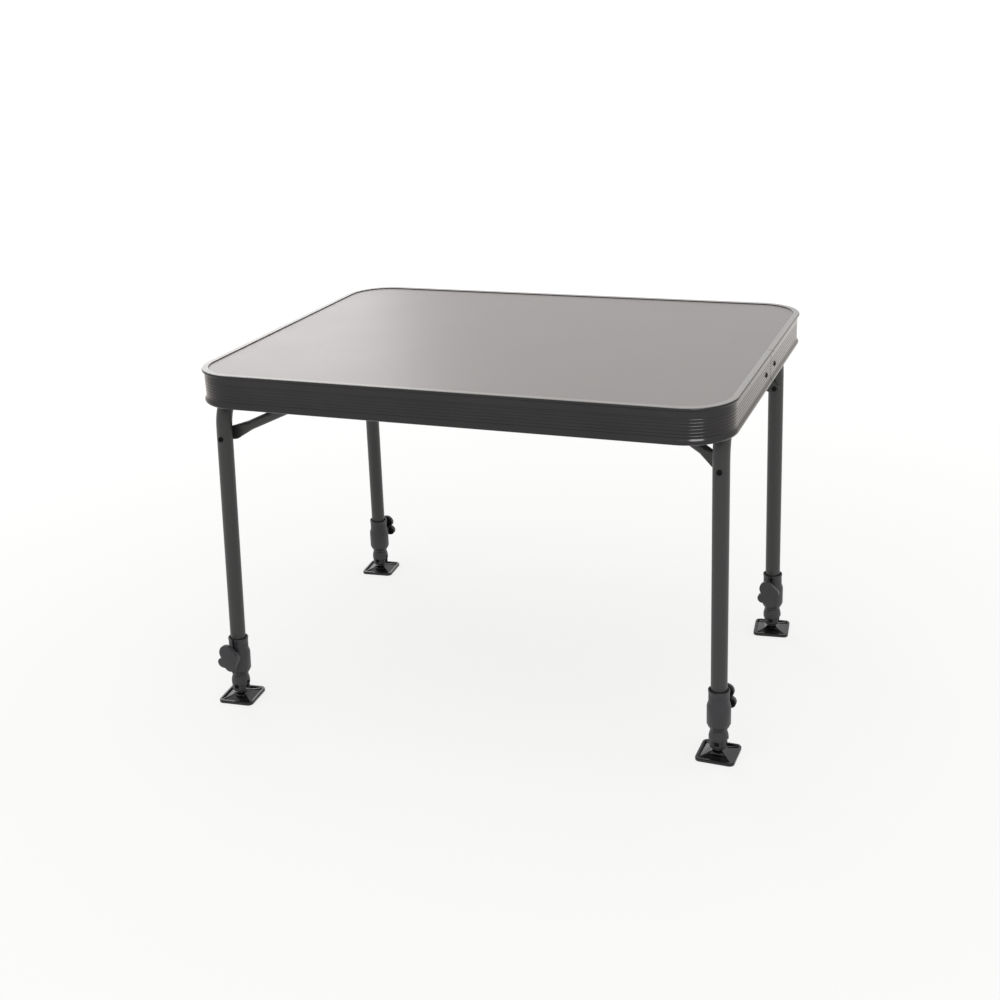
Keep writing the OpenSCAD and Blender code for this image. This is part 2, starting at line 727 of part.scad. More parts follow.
module lock_knob(f, s) {
    color(moulding) on_leg(f, s) knob_side(f, s) translate([0, 0, bolt_h]) difference() {
        intersection() {
            along_y(knob_back, knob_front + 1) knob_outline();
            translate([0, knob_front - knob_dome_r, 0]) sphere(knob_dome_r, $fn = 180);
        }
        difference() {
            intersection() {
                along_y(knob_back - 1, knob_front) knob_outline(knob_wall);
                translate([0, knob_front - knob_dome_r, 0]) sphere(knob_dome_r - knob_wall, $fn = 180);
            }
            rod_y(knob_back - 2, knob_front, 2 * bolt_r);
            along_y(knob_back - 2, knob_front)
                square([knob_rib_t, 8 * boss_r], center = true);
        }
        rod_y(0, knob_front - knob_wall, bolt_r + hole_play);
    }
}

module lock_bolt(f, s) {
    color(steel) on_leg(f, s) knob_side(f, s) translate([0, 0, bolt_h])
        rod_y(inner_r + tube_gap, knob_front - knob_wall, bolt_r);
}

module inner_tube(f, s) {
    color(dark_aluminium) on_leg(f, s) translate([0, 0, socket_seat]) difference() {
        cylinder(h = inner_l, r = inner_r);
        translate([0, 0, -1]) cylinder(h = inner_l + 2, r = inner_r - inner_wall);
    }
}

// Foot socket: holds the inner tube above and the ball of the foot plate below.
module foot_socket(f, s) {
    mouth_r = ball_r - 0.6;
    seat_r = inner_r + hole_play;
    flat_x = ball_r + 2.4;
    flat_h = ball_h + 2;
    window = 7;
    color(moulding) on_leg(f, s) difference() {
        rotate_extrude() polygon([
            [0, socket_low], [socket_r - 1.6, socket_low], [socket_r - 1, socket_low + 1],
            [socket_r - 0.6, flat_h - 1], [socket_r, flat_h + 1], [socket_r, flat_h + 7],
            [socket_r - 0.5, flat_h + 9.5], [socket_r - 1.4, socket_high - 3],
            [seat_r + 2.1, socket_high - 1], [seat_r + 1.2, socket_high], [0, socket_high]]);
        translate([0, 0, ball_along(f)]) {
            sphere(ball_r + ball_gap);
            translate([0, 0, -ball_h]) cylinder(h = ball_h, r = mouth_r);
        }
        translate([0, 0, socket_seat]) cylinder(h = socket_high, r = seat_r);
        for (a = [0, 180]) rotate([0, 0, a]) {
            translate([-window / 2, ball_r, ball_h - window / 2]) cube([window, socket_r, window]);
            translate([flat_x, -socket_r, 0]) cube([socket_r, 2 * socket_r, flat_h]);
            translate([mouth_r - 1, -finger_gap / 2, 0]) cube([socket_r, finger_gap, socket_seat - 2]);
        }
    }
}

module foot_plate(f, s) {
    pan_h = 2.8;
    mid_h = 6.6;
    mid_w = 25;
    rib_l = foot_l / 2 * sqrt(2) - foot_corner;
    color(black_foot)
        translate([top_x + side_sign(f) * ball_x(f), s * ball_y(f), 0]) {
            rotate([0, 0, foot_turn(f, s)]) {
                difference() {
                    union() {
                        linear_extrude(foot_rim_h - 1.2) rounded_rect(foot_l, foot_l, foot_corner);
                        linear_extrude(foot_rim_h)
                            rounded_rect(foot_l - 1.6, foot_l - 1.6, foot_corner - 0.8);
                    }
                    translate([0, 0, pan_h]) linear_extrude(foot_rim_h)
                        rounded_rect(foot_l - 7, foot_l - 7, foot_corner - 3);
                }
                translate([0, 0, pan_h - eps])
                    linear_extrude(mid_h - pan_h, scale = mid_w / (foot_l - 9))
                        square(foot_l - 9, center = true);
                translate([0, 0, mid_h - 2 * eps])
                    linear_extrude(cone_h - mid_h - 1, scale = 0.6) square(mid_w - eps, center = true);
                for (a = [45:90:315]) rotate([0, 0, a]) along_y(-1.1, 1.1)
                    polygon([[0, 1], [rib_l, 1], [rib_l, foot_rim_h - 0.4], [mid_w / sqrt(2), mid_h + 0.6],
                        [neck_r + 1.8, cone_h - 0.4], [0, cone_h - 0.4]]);
            }
            cylinder(h = cone_h, r1 = 10, r2 = neck_r + 2);
            cylinder(h = ball_h, r = neck_r);
            translate([0, 0, ball_h]) sphere(ball_r);
        }
}

table_board();
edge_rail();
rail_splice();
splice_rivets();
saddle_screws();
guide_screws();
leg_frame(LEFT);  // left_leg_frame
leg_frame(RIGHT);  // right_leg_frame
stay_rivets(LEFT);  // left_stay_rivets
stay_rivets(RIGHT);  // right_stay_rivets
for (f = [LEFT, RIGHT], s = [FRONT, REAR]) {
    saddle(f, s);
    guide(f, s);
    stay(f, s);
    slide_pin(f, s);
    collar(f, s);
    lock_knob(f, s);
    lock_bolt(f, s);
    inner_tube(f, s);
    foot_socket(f, s);
    foot_plate(f, s);
}
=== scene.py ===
"""Folding camping table: its edge rail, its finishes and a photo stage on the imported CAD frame.

Run as a script. Every length is in metres, in the frame of the CAD model: the origin is on the
floor in the middle of the footprint, X runs along the table, Y to the rear and Z up.
"""

import math

import bpy
from bpy.props import FloatProperty, FloatVectorProperty, IntProperty, PointerProperty
from mathutils import Matrix, Vector


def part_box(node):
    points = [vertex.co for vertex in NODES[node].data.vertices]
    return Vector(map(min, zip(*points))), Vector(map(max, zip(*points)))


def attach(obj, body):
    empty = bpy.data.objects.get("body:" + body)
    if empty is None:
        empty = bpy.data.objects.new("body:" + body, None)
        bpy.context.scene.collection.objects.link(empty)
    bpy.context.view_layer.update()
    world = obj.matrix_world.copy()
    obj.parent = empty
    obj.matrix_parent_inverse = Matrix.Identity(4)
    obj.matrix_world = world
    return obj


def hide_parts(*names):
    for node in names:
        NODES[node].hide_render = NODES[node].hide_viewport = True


bl_info = {
    "name": "Folding Camping Table",
    "version": (1, 0, 0),
    "blender": (4, 5, 0),
    "location": "3D View > Sidebar > Table",
    "description": "Models the edge rail, finishes the table and builds its photo stage",
    "category": "Object",
}

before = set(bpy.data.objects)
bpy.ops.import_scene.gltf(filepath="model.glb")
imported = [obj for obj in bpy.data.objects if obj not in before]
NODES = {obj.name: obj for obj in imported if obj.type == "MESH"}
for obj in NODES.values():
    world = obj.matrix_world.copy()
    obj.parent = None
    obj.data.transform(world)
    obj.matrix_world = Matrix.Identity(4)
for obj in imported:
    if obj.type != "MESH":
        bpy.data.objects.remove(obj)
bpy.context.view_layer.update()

LEGS = [(side, end) for side in ("left", "right") for end in ("front", "rear")]

# Vertices closer than this are one, and a vertex this close to a plane lies on it.
SAME_PLACE = 1e-6
ON_PLANE = 1e-5


def leg_nodes(kind):
    """Names of the four CAD nodes of one kind, one on each leg."""
    return [f"{side}_{end}_{kind}" for side, end in LEGS]


# Shader building


class Wire:
    """An output socket that can stand in a formula, which then adds its Math nodes."""

    def __init__(self, finish, socket):
        self.finish = finish
        self.socket = socket

    def math(self, operation, *others):
        return self.finish.node(
            "ShaderNodeMath", {"operation": operation}, dict(enumerate((self, *others)))
        )

    def __add__(self, other):
        return self.math("ADD", other)

    __radd__ = __add__

    def __mul__(self, other):
        return self.math("MULTIPLY", other)

    __rmul__ = __mul__

    def __sub__(self, other):
        return self.math("SUBTRACT", other)

    def __rsub__(self, other):
        return self.finish.node("ShaderNodeMath", {"operation": "SUBTRACT"}, {0: other, 1: self})

    def band(self, low, high):
        """0 below low, 1 above high, smooth between."""
        return self.finish.node(
            "ShaderNodeMapRange",
            {"interpolation_type": "SMOOTHSTEP"},
            {"Value": self, "From Min": low, "From Max": high},
        )


class Finish:
    """One material in the making."""

    def __init__(self, name, world=None):
        self.material = world or bpy.data.materials.new(name)
        self.material.use_nodes = True
        self.tree = self.material.node_tree
        self.tree.nodes.clear()

    def node(self, kind, settings=None, sockets=None, output=0):
        """Adds a node: its settings first, then the values or wires of its sockets."""
        made = self.tree.nodes.new(kind)
        for key, value in (settings or {}).items():
            setattr(made, key, value)
        for key, value in (sockets or {}).items():
            if isinstance(value, Wire):
                self.tree.links.new(value.socket, made.inputs[key])
            else:
                made.inputs[key].default_value = value
        return Wire(self, made.outputs[output]) if made.outputs else made

    def place(self):
        """Object coordinates in metres."""
        return self.node("ShaderNodeTexCoord", output="Object")

    def stretched(self, scale):
        """Object coordinates, scaled."""
        return self.node("ShaderNodeMapping", None, {"Vector": self.place(), "Scale": scale})

    def noise(self, scale, detail=2.0, roughness=0.5, at=None):
        """Noise from 0 to 1, with a scale in features a metre."""
        return self.node(
            "ShaderNodeTexNoise",
            {"noise_dimensions": "3D"},
            {
                "Vector": at or self.place(),
                "Scale": scale,
                "Detail": detail,
                "Roughness": roughness,
            },
        )

    def mix(self, factor, low, high):
        """Mixes two colours: the Mix node has its colour sockets at 6 and 7, its result at 2."""
        return self.node(
            "ShaderNodeMix", {"data_type": "RGBA"}, {0: factor, 6: low, 7: high}, output=2
        )

    def bump(self, height, depth):
        """A bump of that depth in metres."""
        return self.node("ShaderNodeBump", None, {"Height": height, "Distance": depth})

    def surface(self, **sockets):
        """Ends the material in a Principled shader."""
        names = {key.replace("_", " "): value for key, value in sockets.items()}
        shader = self.node("ShaderNodeBsdfPrincipled", None, names)
        self.node("ShaderNodeOutputMaterial", None, {"Surface": shader})
        return self.material


def rgb(colour):
    """A colour property as a plain opaque colour."""
    return (*colour, 1.0)


def shade(colour, factor):
    """A colour property made lighter or darker, opaque."""
    return rgb(tuple(channel * factor for channel in colour))


def dress(node, material, softened=0.0):
    """Gives a CAD node its finish. Softened rounds its sharp edges by that width."""
    piece = NODES[node]
    piece.data.materials.clear()
    piece.data.materials.append(material)
    if softened:
        weld = piece.modifiers.new("Join the facets", "WELD")
        weld.merge_threshold = SAME_PLACE
        bevel = piece.modifiers.new("Soften the edges", "BEVEL")
        bevel.width = softened
        bevel.segments = 2
        bevel.limit_method = "ANGLE"
        bevel.angle_limit = math.radians(32)
        bevel.harden_normals = True


# Sizes and colours that a user would change


class TableColours(bpy.types.PropertyGroup):
    """Colours of the table's finishes."""

    laminate: FloatVectorProperty(
        name="Laminate",
        description="Colour of the board's glossy laminate",
        subtype="COLOR",
        size=3,
        min=0,
        max=1,
        default=(0.285, 0.256, 0.249),
    )
    rail: FloatVectorProperty(
        name="Edge rail",
        description="Colour of the anthracite edge rail",
        subtype="COLOR",
        size=3,
        min=0,
        max=1,
        default=(0.041, 0.0395, 0.0405),
    )
    # Painted highlight: a light grey on the rail's flat upper face, standing in for the bright line
    # that light reflects along it
    lip_highlight: FloatVectorProperty(
        name="Lip",
        # Painted highlight: light colour of the rail's flat upper face over the board
        description="Colour of the rail's top lip, rubbed lighter by use",
        subtype="COLOR",
        size=3,
        min=0,
        max=1,
        default=(0.39, 0.375, 0.36),
    )
    tube: FloatVectorProperty(
        name="Tubes",
        description="Colour of the leg tubes and stays",
        subtype="COLOR",
        size=3,
        min=0,
        max=1,
        default=(0.041, 0.040, 0.039),
    )
    moulding: FloatVectorProperty(
        name="Mouldings",
        description="Colour of collars, sockets and saddles",
        subtype="COLOR",
        size=3,
        min=0,
        max=1,
        default=(0.034, 0.032, 0.036),
    )
    knob: FloatVectorProperty(
        name="Knobs",
        description="Colour of the lock knobs",
        subtype="COLOR",
        size=3,
        min=0,
        max=1,
        default=(0.035, 0.033, 0.037),
    )
    foot: FloatVectorProperty(
        name="Feet",
        description="Colour of the foot plates",
        subtype="COLOR",
        size=3,
        min=0,
        max=1,
        default=(0.006, 0.006, 0.006),
    )
    zinc: FloatVectorProperty(
        name="Zinc plate",
        description="Colour of the plated screws, pins and bolts",
        subtype="COLOR",
        size=3,
        min=0,
        max=1,
        default=(0.55, 0.55, 0.54),
    )
    rivet: FloatVectorProperty(
        name="Rivets",
        description="Colour of the dark rivets",
        subtype="COLOR",
        size=3,
        min=0,
        max=1,
        default=(0.012, 0.012, 0.012),
    )
    bracket: FloatVectorProperty(
        name="Guides",
        description="Colour of the guides under the board",
        subtype="COLOR",
        size=3,
        min=0,
        max=1,
        default=(0.32, 0.32, 0.32),
    )


class TableDetail(bpy.types.PropertyGroup):
    """Sizes of the fine detail."""

    edge_round: FloatProperty(
        name="Edge rounding",
        description="Width of the rounding along moulded edges",
        subtype="DISTANCE",
        unit="LENGTH",
        min=0.0,
        max=0.002,
        default=0.0005,
    )
    grain: FloatProperty(
        name="Mould grain",
        description="Depth of the fine grain on moulded parts",
        subtype="DISTANCE",
        unit="LENGTH",
        min=0.0,
        max=0.0002,
        default=0.00002,
    )
    draw_lines: FloatProperty(
        name="Draw lines",
        description="Depth of the lines that extrusion leaves along the rail",
        subtype="DISTANCE",
        unit="LENGTH",
        min=0.0,
        max=0.0001,
        default=0.00001,
    )
    flecks: IntProperty(
        name="Laminate flecks",
        description="Flecks a metre in the laminate",
        min=100,
        max=5000,
        default=1500,
    )


class RailSettings(bpy.types.PropertyGroup):
    """Sizes of the edge rail's section and joint."""

    corner_radius: FloatProperty(
        name="Corner radius",
        description="Outer radius of the rail's four bends",
        subtype="DISTANCE",
        unit="LENGTH",
        default=0.07,
    )
    joint_place: FloatProperty(
        name="Joint",
        description="Place of the joint along the right short side, from its middle to the rear",
        subtype="DISTANCE",
        unit="LENGTH",
        default=0.006,
    )
    joint_gap: FloatProperty(
        name="Joint gap",
        description="Gap between the two sawn ends of the rail",
        subtype="DISTANCE",
        unit="LENGTH",
        default=0.0008,
    )
    deburr: FloatProperty(
        name="Deburred ends",
        description="Chamfer on the outside of the sawn ends",
        subtype="DISTANCE",
        unit="LENGTH",
        default=0.0007,
    )
    ridge_count: IntProperty(
        name="Ridges",
        description="Number of ridges along the rail's face",
        min=0,
        default=6,
    )
    ridge_relief: FloatProperty(
        name="Ridge relief",
        description="How far a ridge stands out of the face",
        subtype="DISTANCE",
        unit="LENGTH",
        default=0.0005,
    )
    bend_steps: IntProperty(
        name="Bend steps",
        description="Steps in which each corner is bent",
        min=4,
        default=20,
    )


class StageSettings(bpy.types.PropertyGroup):
    """Camera, lamps, room and floor."""

    lens: FloatProperty(
        name="Lens",
        description="Focal length on a 36 mm sensor",
        subtype="DISTANCE_CAMERA",
        unit="CAMERA",
        default=49.497,
    )
    floor_size: FloatProperty(
        name="Floor",
        description="Side of the square floor",
        subtype="DISTANCE",
        unit="LENGTH",
        min=2.0,
        max=100.0,
        default=60.0,
    )
    room_light: FloatProperty(
        name="Room light",
        description="Strength of the even light from all round",
        min=0.0,
        max=2.0,
        default=0.55,
    )
    floor_glow: FloatProperty(
        name="Floor glow",
        description="Share of the floor's look that is plain white and takes no shadow",
        subtype="FACTOR",
        min=0.0,
        max=1.0,
        default=0.72,
    )
    key_power: FloatProperty(
        name="Key lamp",
        description="Power of the large soft lamp at the left rear",
        subtype="POWER",
        unit="POWER",
        min=0.0,
        max=500.0,
        default=36.0,
    )
    strip_power: FloatProperty(
        name="Strip lamp",
        description="Power of the small lamp that shows only as a glint",
        subtype="POWER",
        unit="POWER",
        min=0.0,
        max=500.0,
        default=9.0,
    )
    top_power: FloatProperty(
        name="Top lamp",
        description="Power of the soft lamp overhead",
        subtype="POWER",
        unit="POWER",
        min=0.0,
        max=500.0,
        default=20.0,
    )


# Finishes


def laminate_finish(colours, detail):
    """Glossy laminate: tiny flecks, a faint cloudiness and finger-soft gloss."""
    f = Finish("Board laminate")
    fleck = f.noise(detail.flecks, detail=1.0)
    cloud = f.noise(6.0, detail=3.0)
    tint = fleck.band(0.35, 0.7) * 0.5 + cloud * 0.5
    colour = f.mix(tint, shade(colours.laminate, 0.93), shade(colours.laminate, 1.07))
    smear = f.noise(9.0, detail=4.0, roughness=0.6)
    return f.surface(
        Base_Color=colour,
        Roughness=smear * 0.05 + 0.32,
        Normal=f.bump(f.noise(900.0, detail=1.0), 0.000004),
        IOR=1.5,
    )


def rail_finish(colours, detail):
    """Dark anodised extrusion: fine draw lines all round and a satin sheen, and a painted
    highlight: a light grey, non-metal finish on the rail's flat upper face.
    """
    f = Finish("Anthracite rail")
    lines = f.noise(1.0, detail=2.0, at=f.stretched((3.0, 3.0, 2600.0)))
    cloud = f.noise(14.0, detail=3.0)
    dark = f.mix(cloud, shade(colours.rail, 0.9), shade(colours.rail, 1.15))
    # Painted highlight: the rail's flat upper face gets a light grey, non-metal finish that stands
    # in for the bright line light reflects along it
    height = f.node("ShaderNodeSeparateXYZ", None, {0: f.place()}, output="Z")
    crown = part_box("edge_rail")[1].z
    top = height.band(crown - 0.0006, crown - 0.0001)
    colour = f.mix(top, dark, rgb(colours.lip_highlight))
    return f.surface(
        Base_Color=colour,
        Metallic=1.0 - top,
        Roughness=lines * 0.05 + top * 0.16 + 0.12,
        Normal=f.bump(lines, detail.draw_lines),
        Specular_Tint=(1.0, 0.97, 0.94, 1.0),
    )


def tube_finish(colours):
    """Satin dark grey tube with a fine powder grain."""
    f = Finish("Satin tube")
    grain = f.noise(2200.0, detail=1.0)
    cloud = f.noise(20.0, detail=2.0)
    colour = f.mix(cloud, shade(colours.tube, 0.93), shade(colours.tube, 1.07))
    return f.surface(
        Base_Color=colour,
        Roughness=cloud * 0.06 + 0.38,
        Normal=f.bump(grain, 0.000006),
        IOR=1.5,
    )


def moulded_finish(name, colour, detail, roughness):
    """Moulded nylon with a spark-eroded grain."""
    f = Finish(name)
    grain = f.noise(1600.0, roughness=0.6)
    cloud = f.noise(35.0, detail=2.0)
    tone = f.mix(cloud, shade(colour, 0.9), shade(colour, 1.12))
    return f.surface(
        Base_Color=tone,
        Roughness=cloud * 0.08 + roughness,
        Normal=f.bump(grain, detail.grain),
        IOR=1.5,
    )


def metal_finish(name, colour, roughness):
    """Plated or blackened metal with a faint mottling."""
    f = Finish(name)
    mottle = f.noise(400.0, detail=3.0)
    tone = f.mix(mottle, shade(colour, 0.88), shade(colour, 1.08))
    return f.surface(
        Base_Color=tone,
        Metallic=1.0,
        Roughness=mottle * 0.12 + roughness,
        Normal=f.bump(f.noise(1500.0, detail=1.0), 0.000005),
    )


# Modelling by hand


def start_mesh(name, add, **settings):
    """Adds a primitive with nothing else selected, names it and opens it for editing."""
    bpy.ops.object.select_all(action="DESELECT")
    add(**settings)
    piece = bpy.context.object
    piece.name = name
    bpy.ops.object.mode_set(mode="EDIT")
    bpy.ops.mesh.select_all(action="SELECT")
    return piece


def pick(piece, wanted):
    """Selects the vertices whose place passes the test, in object space."""
    bpy.ops.mesh.select_all(action="DESELECT")
    bpy.ops.object.mode_set(mode="OBJECT")
    for vertex in piece.data.vertices:
        vertex.select = wanted(piece.matrix_world @ vertex.co)
    bpy.ops.object.mode_set(mode="EDIT")


def pull(step):
    """Extrudes what is selected by a step."""
    bpy.ops.mesh.extrude_region_move(TRANSFORM_OT_translate={"value": step})


def close_mesh(piece, angle):
    """Leaves edit mode with the place in the mesh and faces smooth up to an angle."""
    bpy.ops.object.mode_set(mode="OBJECT")
    bpy.ops.object.select_all(action="DESELECT")
    piece.select_set(True)
    bpy.context.view_layer.objects.active = piece
    bpy.ops.object.transform_apply(location=True, rotation=True, scale=True)
    bpy.ops.object.shade_smooth_by_angle(angle=math.radians(angle), keep_sharp_edges=False)


def arc(middle, radius, first, last, steps):
    """Points on an arc, angles in degrees."""
    return [
        (
            middle[0] + radius * math.cos(math.radians(first + (last - first) * i / steps)),
            middle[1] + radius * math.sin(math.radians(first + (last - first) * i / steps)),
        )
        for i in range(steps + 1)
    ]


def rail_section(rail):
    """The rail's section in metres, round from its inner foot.

    Each point has its reach outwards from the flare's tip, which is negative, and its height
    above the rail's lower edge.
    """
    ridge_half, ridge_tip = 0.0011, -0.0029
    first_ridge, ridge_pitch = 0.0115, 0.0045
    wall = ridge_tip - rail.ridge_relief
    # Rounded bead along the lower edge, and the flare that joins it to the wall
    points = arc((-0.0042, 0.004), 0.004, 117.0, 375.0, 22)
    points += [(-0.0007, 0.0060), (-0.0014, 0.0071), (-0.0023, 0.0082), (wall + 0.0002, 0.0094)]
    points += [(wall, 0.0101)]
    # Ridges, each an arc over its own width
    bow = (ridge_half**2 + rail.ridge_relief**2) / (2 * rail.ridge_relief)
    edge = math.degrees(math.asin(ridge_half / bow))
    for ridge in range(rail.ridge_count):
        height = first_ridge + ridge_pitch * ridge
        points += arc((ridge_tip - bow, height), bow, -edge, edge, 6)
    # Plain band, rounded over into the lip on the board
    points += [(wall, 0.0357), (-0.0030, 0.0361)]
    points += arc((-0.0025, 0.0485), 0.0025, -101.5, 90.0, 14)
    points += [(-0.0097, 0.051), (-0.01, 0.0507), (-0.01, 0.0494), (-0.006, 0.0494)]
    # Back of the wall, with the flange under the board
    points += [(-0.006, 0.0404), (-0.018, 0.0404), (-0.018, 0.0384), (-0.006, 0.0384)]
    return points


# Operators


class TABLE_OT_model_rail(bpy.types.Operator):
    """Draw the rail's section point by point, sweep it round the board and cut its joint"""

    bl_idname = "table.model_rail"
    bl_label = "Model Edge Rail"

    def execute(self, context):
        table = context.scene.table_settings
        rail = table.rail
        low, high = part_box("edge_rail")
        section = rail_section(rail)
        near = rail.joint_place - rail.joint_gap / 2
        far = rail.joint_place + rail.joint_gap / 2
        # The bends' middles: their x at the right and at the left, their y at the rear
        right, rear = high.x - rail.corner_radius, high.y - rail.corner_radius
        left = low.x + rail.corner_radius
        piece = start_mesh(
            "edge_rail_extrusion",
            bpy.ops.mesh.primitive_plane_add,
            size=0.01,
            location=(high.x + section[0][0], far, low.z + section[0][1]),
        )
        bpy.ops.mesh.merge(type="CENTER")
        for a, b in zip(section, section[1:] + section[:1]):
            pull((b[0] - a[0], 0.0, b[1] - a[1]))
        bpy.ops.mesh.select_all(action="SELECT")
        bpy.ops.mesh.remove_doubles(threshold=SAME_PLACE)
        pull((0.0, rail.deburr, 0.0))
        pull((0.0, rear - far - rail.deburr, 0.0))
        self.bend(rail, (right, rear))
        pull((left - right, 0.0, 0.0))
        self.bend(rail, (left, rear))
        pull((0.0, -2 * rear, 0.0))
        self.bend(rail, (left, -rear))
        pull((right - left, 0.0, 0.0))
        self.bend(rail, (right, -rear))
        pull((0.0, near + rear - rail.deburr, 0.0))
        pull((0.0, rail.deburr, 0.0))
        outer_face, top_face = high.x - 0.005, high.z - 0.001
        for end in (near, far):
            pick(piece, lambda v: v.x > 0 and abs(v.y - end) < ON_PLANE)
            bpy.ops.mesh.edge_face_add()
            pick(piece, lambda v: v.x > outer_face and abs(v.y - end) < ON_PLANE)
            bpy.ops.transform.translate(value=(-rail.deburr, 0.0, 0.0))
            pick(piece, lambda v: v.z > top_face and abs(v.y - end) < ON_PLANE)
            bpy.ops.transform.translate(value=(0.0, 0.0, -rail.deburr))
        bpy.ops.mesh.select_all(action="SELECT")
        bpy.ops.mesh.normals_make_consistent(inside=False)
        close_mesh(piece, 30)
        piece.data.materials.append(rail_finish(table.colours, table.detail))
        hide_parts("edge_rail")
        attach(piece, "root")
        return {"FINISHED"}

    def bend(self, rail, middle):
        """Spins the end of the sweep a quarter turn round a corner's middle."""
        bpy.ops.mesh.spin(
            steps=rail.bend_steps,
            angle=math.radians(-90),
            center=(*middle, 0.0),
            axis=(0.0, 0.0, 1.0),
        )


class TABLE_OT_finish_board(bpy.types.Operator):
    """Finish the board with its glossy laminate"""

    bl_idname = "table.finish_board"
    bl_label = "Finish Board"

    def execute(self, context):
        table = context.scene.table_settings
        dress("table_board", laminate_finish(table.colours, table.detail))
        return {"FINISHED"}


class TABLE_OT_finish_rail(bpy.types.Operator):
    """Finish the rivets and the splice plate of the rail's joint"""

    bl_idname = "table.finish_rail"
    bl_label = "Finish Rail Joint"

    def execute(self, context):
        table = context.scene.table_settings
        dress("rail_splice", metal_finish("Splice plate", table.colours.rivet, 0.5))
        dress("splice_rivets", metal_finish("Rail rivets", table.colours.rivet, 0.3))
        return {"FINISHED"}


class TABLE_OT_finish_tubes(bpy.types.Operator):
    """Finish the leg frames, stays and inner tubes"""

    bl_idname = "table.finish_tubes"
    bl_label = "Finish Tubes"

    def execute(self, context):
        table = context.scene.table_settings
        satin = tube_finish(table.colours)
        frames = ["left_leg_frame", "right_leg_frame"]
        for node in [*frames, *leg_nodes("stay"), *leg_nodes("inner_tube")]:
            dress(node, satin)
        dark = metal_finish("Stay rivets", table.colours.rivet, 0.3)
        for node in ("left_stay_rivets", "right_stay_rivets"):
            dress(node, dark)
        return {"FINISHED"}


class TABLE_OT_finish_mouldings(bpy.types.Operator):
    """Finish the collars, foot sockets and saddles"""

    bl_idname = "table.finish_mouldings"
    bl_label = "Finish Mouldings"

    def execute(self, context):
        table = context.scene.table_settings
        nylon = moulded_finish("Charcoal nylon", table.colours.moulding, table.detail, 0.42)
        for node in [*leg_nodes("collar"), *leg_nodes("foot_socket"), *leg_nodes("saddle")]:
            dress(node, nylon, table.detail.edge_round)
        return {"FINISHED"}


class TABLE_OT_finish_knobs(bpy.types.Operator):
    """Finish the lock knobs and their bolts"""

    bl_idname = "table.finish_knobs"
    bl_label = "Finish Knobs"

    def execute(self, context):
        table = context.scene.table_settings
        nylon = moulded_finish("Knob nylon", table.colours.knob, table.detail, 0.4)
        for node in leg_nodes("lock_knob"):
            dress(node, nylon, 2 * table.detail.edge_round)
        zinc = metal_finish("Zinc bolts", table.colours.zinc, 0.3)
        for node in leg_nodes("lock_bolt"):
            dress(node, zinc)
        return {"FINISHED"}


class TABLE_OT_finish_feet(bpy.types.Operator):
    """Finish the foot plates"""

    bl_idname = "table.finish_feet"
    bl_label = "Finish Feet"

    def execute(self, context):
        table = context.scene.table_settings
        black = moulded_finish("Foot plastic", table.colours.foot, table.detail, 0.17)
        for node in leg_nodes("foot_plate"):
            dress(node, black, table.detail.edge_round)
        return {"FINISHED"}


class TABLE_OT_finish_fittings(bpy.types.Operator):
    """Finish the guides, slide pins and screws under the board"""

    bl_idname = "table.finish_fittings"
    bl_label = "Finish Fittings"

    def execute(self, context):
        table = context.scene.table_settings
        sheet = metal_finish("Guide sheet", table.colours.bracket, 0.38)
        for node in leg_nodes("guide"):
            dress(node, sheet)
        zinc = metal_finish("Zinc screws", table.colours.zinc, 0.3)
        for node in [*leg_nodes("slide_pin"), "saddle_screws", "guide_screws"]:
            dress(node, zinc)
        return {"FINISHED"}


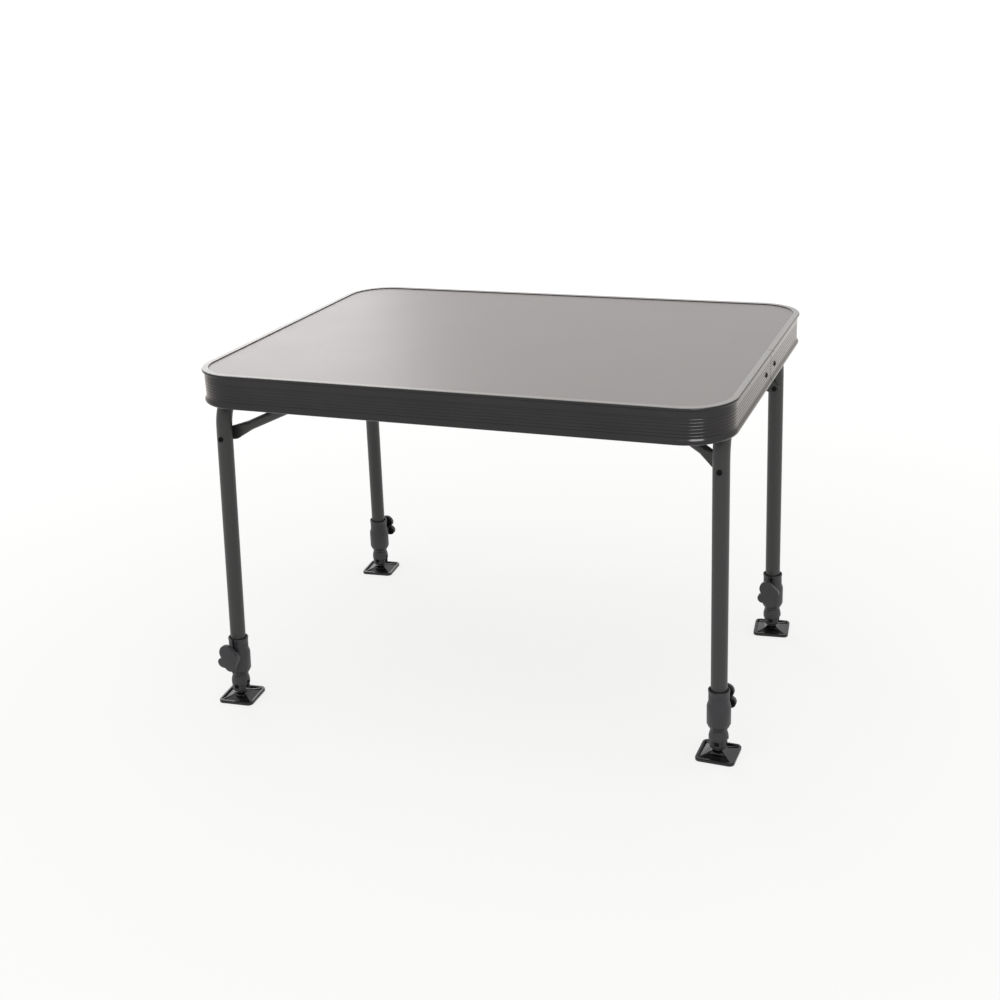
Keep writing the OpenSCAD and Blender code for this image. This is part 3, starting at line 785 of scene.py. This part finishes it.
class TABLE_OT_build_stage(bpy.types.Operator):
    """Build the white floor, the lamps and the camera"""

    bl_idname = "table.build_stage"
    bl_label = "Build Stage"

    def execute(self, context):
        stage = context.scene.table_settings.stage
        self.floor(stage)
        self.world(context.scene, stage)
        self.lamp("Key lamp", (-3.3, 3.35, 2.0), (0.0, 0.0, 0.4), (2.9, 2.5), stage.key_power)
        self.lamp("Top lamp", (0.2, -0.2, 3.2), (0.0, 0.0, 0.3), (3.0, 3.0), stage.top_power)
        corner = (0.36, -0.29, 0.5)
        strip = self.lamp("Strip lamp", (1.08, -1.09, 1.95), corner, (0.75, 0.5), stage.strip_power)
        strip.visible_diffuse = False
        self.camera(context.scene, stage)
        context.scene.view_settings.view_transform = "Standard"
        return {"FINISHED"}

    def floor(self, stage):
        """A floor that stays white for the camera and keeps a faint shadow, with painted shade: its
        glow is dimmer near the table and brighter further out.
        """
        bpy.ops.object.select_all(action="DESELECT")
        bpy.ops.mesh.primitive_plane_add(size=stage.floor_size, location=(0.0, 0.0, 0.0))
        floor = bpy.context.object
        floor.name = "stage_floor"
        f = Finish("White floor")
        # Painted shade: the glow grows stronger with distance from the middle, so the floor is
        # darker round the table
        painted_shade_distance = f.node(
            "ShaderNodeVectorMath", {"operation": "LENGTH"}, {0: f.place()}, output="Value"
        )
        paper = f.node("ShaderNodeBsdfDiffuse", None, {"Color": (0.9, 0.9, 0.9, 1.0)})
        glow = f.node(
            "ShaderNodeEmission",
            None,
            {"Color": (1.0, 0.996, 0.99, 1.0), "Strength": painted_shade_distance.band(0.5, 3.0) * 0.22 + 1.08},
        )
        lit = f.node("ShaderNodeMixShader", None, {0: stage.floor_glow, 1: paper, 2: glow})
        seen = self.seen_rays(f)
        mixed = f.node("ShaderNodeMixShader", None, {0: seen, 1: paper, 2: lit})
        f.node("ShaderNodeOutputMaterial", None, {"Surface": mixed})
        floor.data.materials.append(f.material)

    def seen_rays(self, f):
        """1 for a ray from the camera, a reflection or a glass, else 0."""
        outs = f.node("ShaderNodeLightPath").socket.node.outputs
        camera, glossy, through = (
            Wire(f, outs[name])
            for name in ("Is Camera Ray", "Is Glossy Ray", "Is Transmission Ray")
        )
        return camera.math("MAXIMUM", glossy).math("MAXIMUM", through)

    def world(self, scene, stage):
        """White to the camera and to reflections, a plain even light to the rest."""
        scene.world = bpy.data.worlds.new("Studio")
        f = Finish("Studio", scene.world)
        seen = self.seen_rays(f)
        strength = seen * (1.0 - stage.room_light) + stage.room_light
        light = f.node("ShaderNodeBackground", None, {"Color": (1, 1, 1, 1), "Strength": strength})
        f.node("ShaderNodeOutputWorld", None, {"Surface": light})

    def lamp(self, name, place, target, size, power):
        """A rectangular soft lamp that looks at a point."""
        data = bpy.data.lights.new(name, "AREA")
        data.shape = "RECTANGLE"
        data.size, data.size_y = size
        data.energy = power
        lamp = bpy.data.objects.new(name, data)
        bpy.context.scene.collection.objects.link(lamp)
        aim = Vector(target) - Vector(place)
        lamp.location = place
        lamp.rotation_euler = aim.to_track_quat("-Z", "Y").to_euler()
        return lamp

    def camera(self, scene, stage):
        """The photograph's viewpoint."""
        data = bpy.data.cameras.new("Photo camera")
        data.lens = stage.lens
        data.sensor_width = 36.0
        data.shift_y = 0.001
        data.clip_end = 100.0
        camera = bpy.data.objects.new("Photo camera", data)
        scene.collection.objects.link(camera)
        right = Vector((0.93413, 0.35467, -0.04008))
        up = Vector((-0.09261, 0.34927, 0.93243))
        back = Vector((0.34470, -0.86730, 0.35911))
        turn = Matrix((right, up, back)).transposed()
        low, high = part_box("edge_rail")
        eye = ((low.x + high.x) / 2 + 0.73591, -1.93260, 1.07556)
        camera.matrix_world = Matrix.Translation(eye) @ turn.to_4x4()
        scene.camera = camera


class TableSettings(bpy.types.PropertyGroup):
    """All settings of the table."""

    colours: PointerProperty(type=TableColours)
    detail: PointerProperty(type=TableDetail)
    rail: PointerProperty(type=RailSettings)
    stage: PointerProperty(type=StageSettings)


STEPS = [
    TABLE_OT_finish_board,
    TABLE_OT_model_rail,
    TABLE_OT_finish_rail,
    TABLE_OT_finish_tubes,
    TABLE_OT_finish_mouldings,
    TABLE_OT_finish_knobs,
    TABLE_OT_finish_feet,
    TABLE_OT_finish_fittings,
    TABLE_OT_build_stage,
]


class TABLE_PT_steps(bpy.types.Panel):
    """The table's building steps and settings"""

    bl_label = "Folding Camping Table"
    bl_idname = "TABLE_PT_steps"
    bl_space_type = "VIEW_3D"
    bl_region_type = "UI"
    bl_category = "Table"

    def draw(self, context):
        table = context.scene.table_settings
        column = self.layout.column(align=True)
        for step in STEPS:
            column.operator(step.bl_idname)
        for group in (table.colours, table.detail, table.rail, table.stage):
            box = self.layout.box()
            for name in group.__annotations__:
                box.prop(group, name)


CLASSES = [
    TableColours,
    TableDetail,
    RailSettings,
    StageSettings,
    TableSettings,
    *STEPS,
    TABLE_PT_steps,
]


def register():
    for cls in CLASSES:
        bpy.utils.register_class(cls)
    bpy.types.Scene.table_settings = PointerProperty(type=TableSettings)


def unregister():
    del bpy.types.Scene.table_settings
    for cls in reversed(CLASSES):
        bpy.utils.unregister_class(cls)


def main():
    register()
    for step in STEPS:
        group, name = step.bl_idname.split(".")
        result = getattr(getattr(bpy.ops, group), name)()
        if result != {"FINISHED"}:
            raise RuntimeError(f"{step.bl_idname} did not finish")


if __name__ == "__main__":
    main()
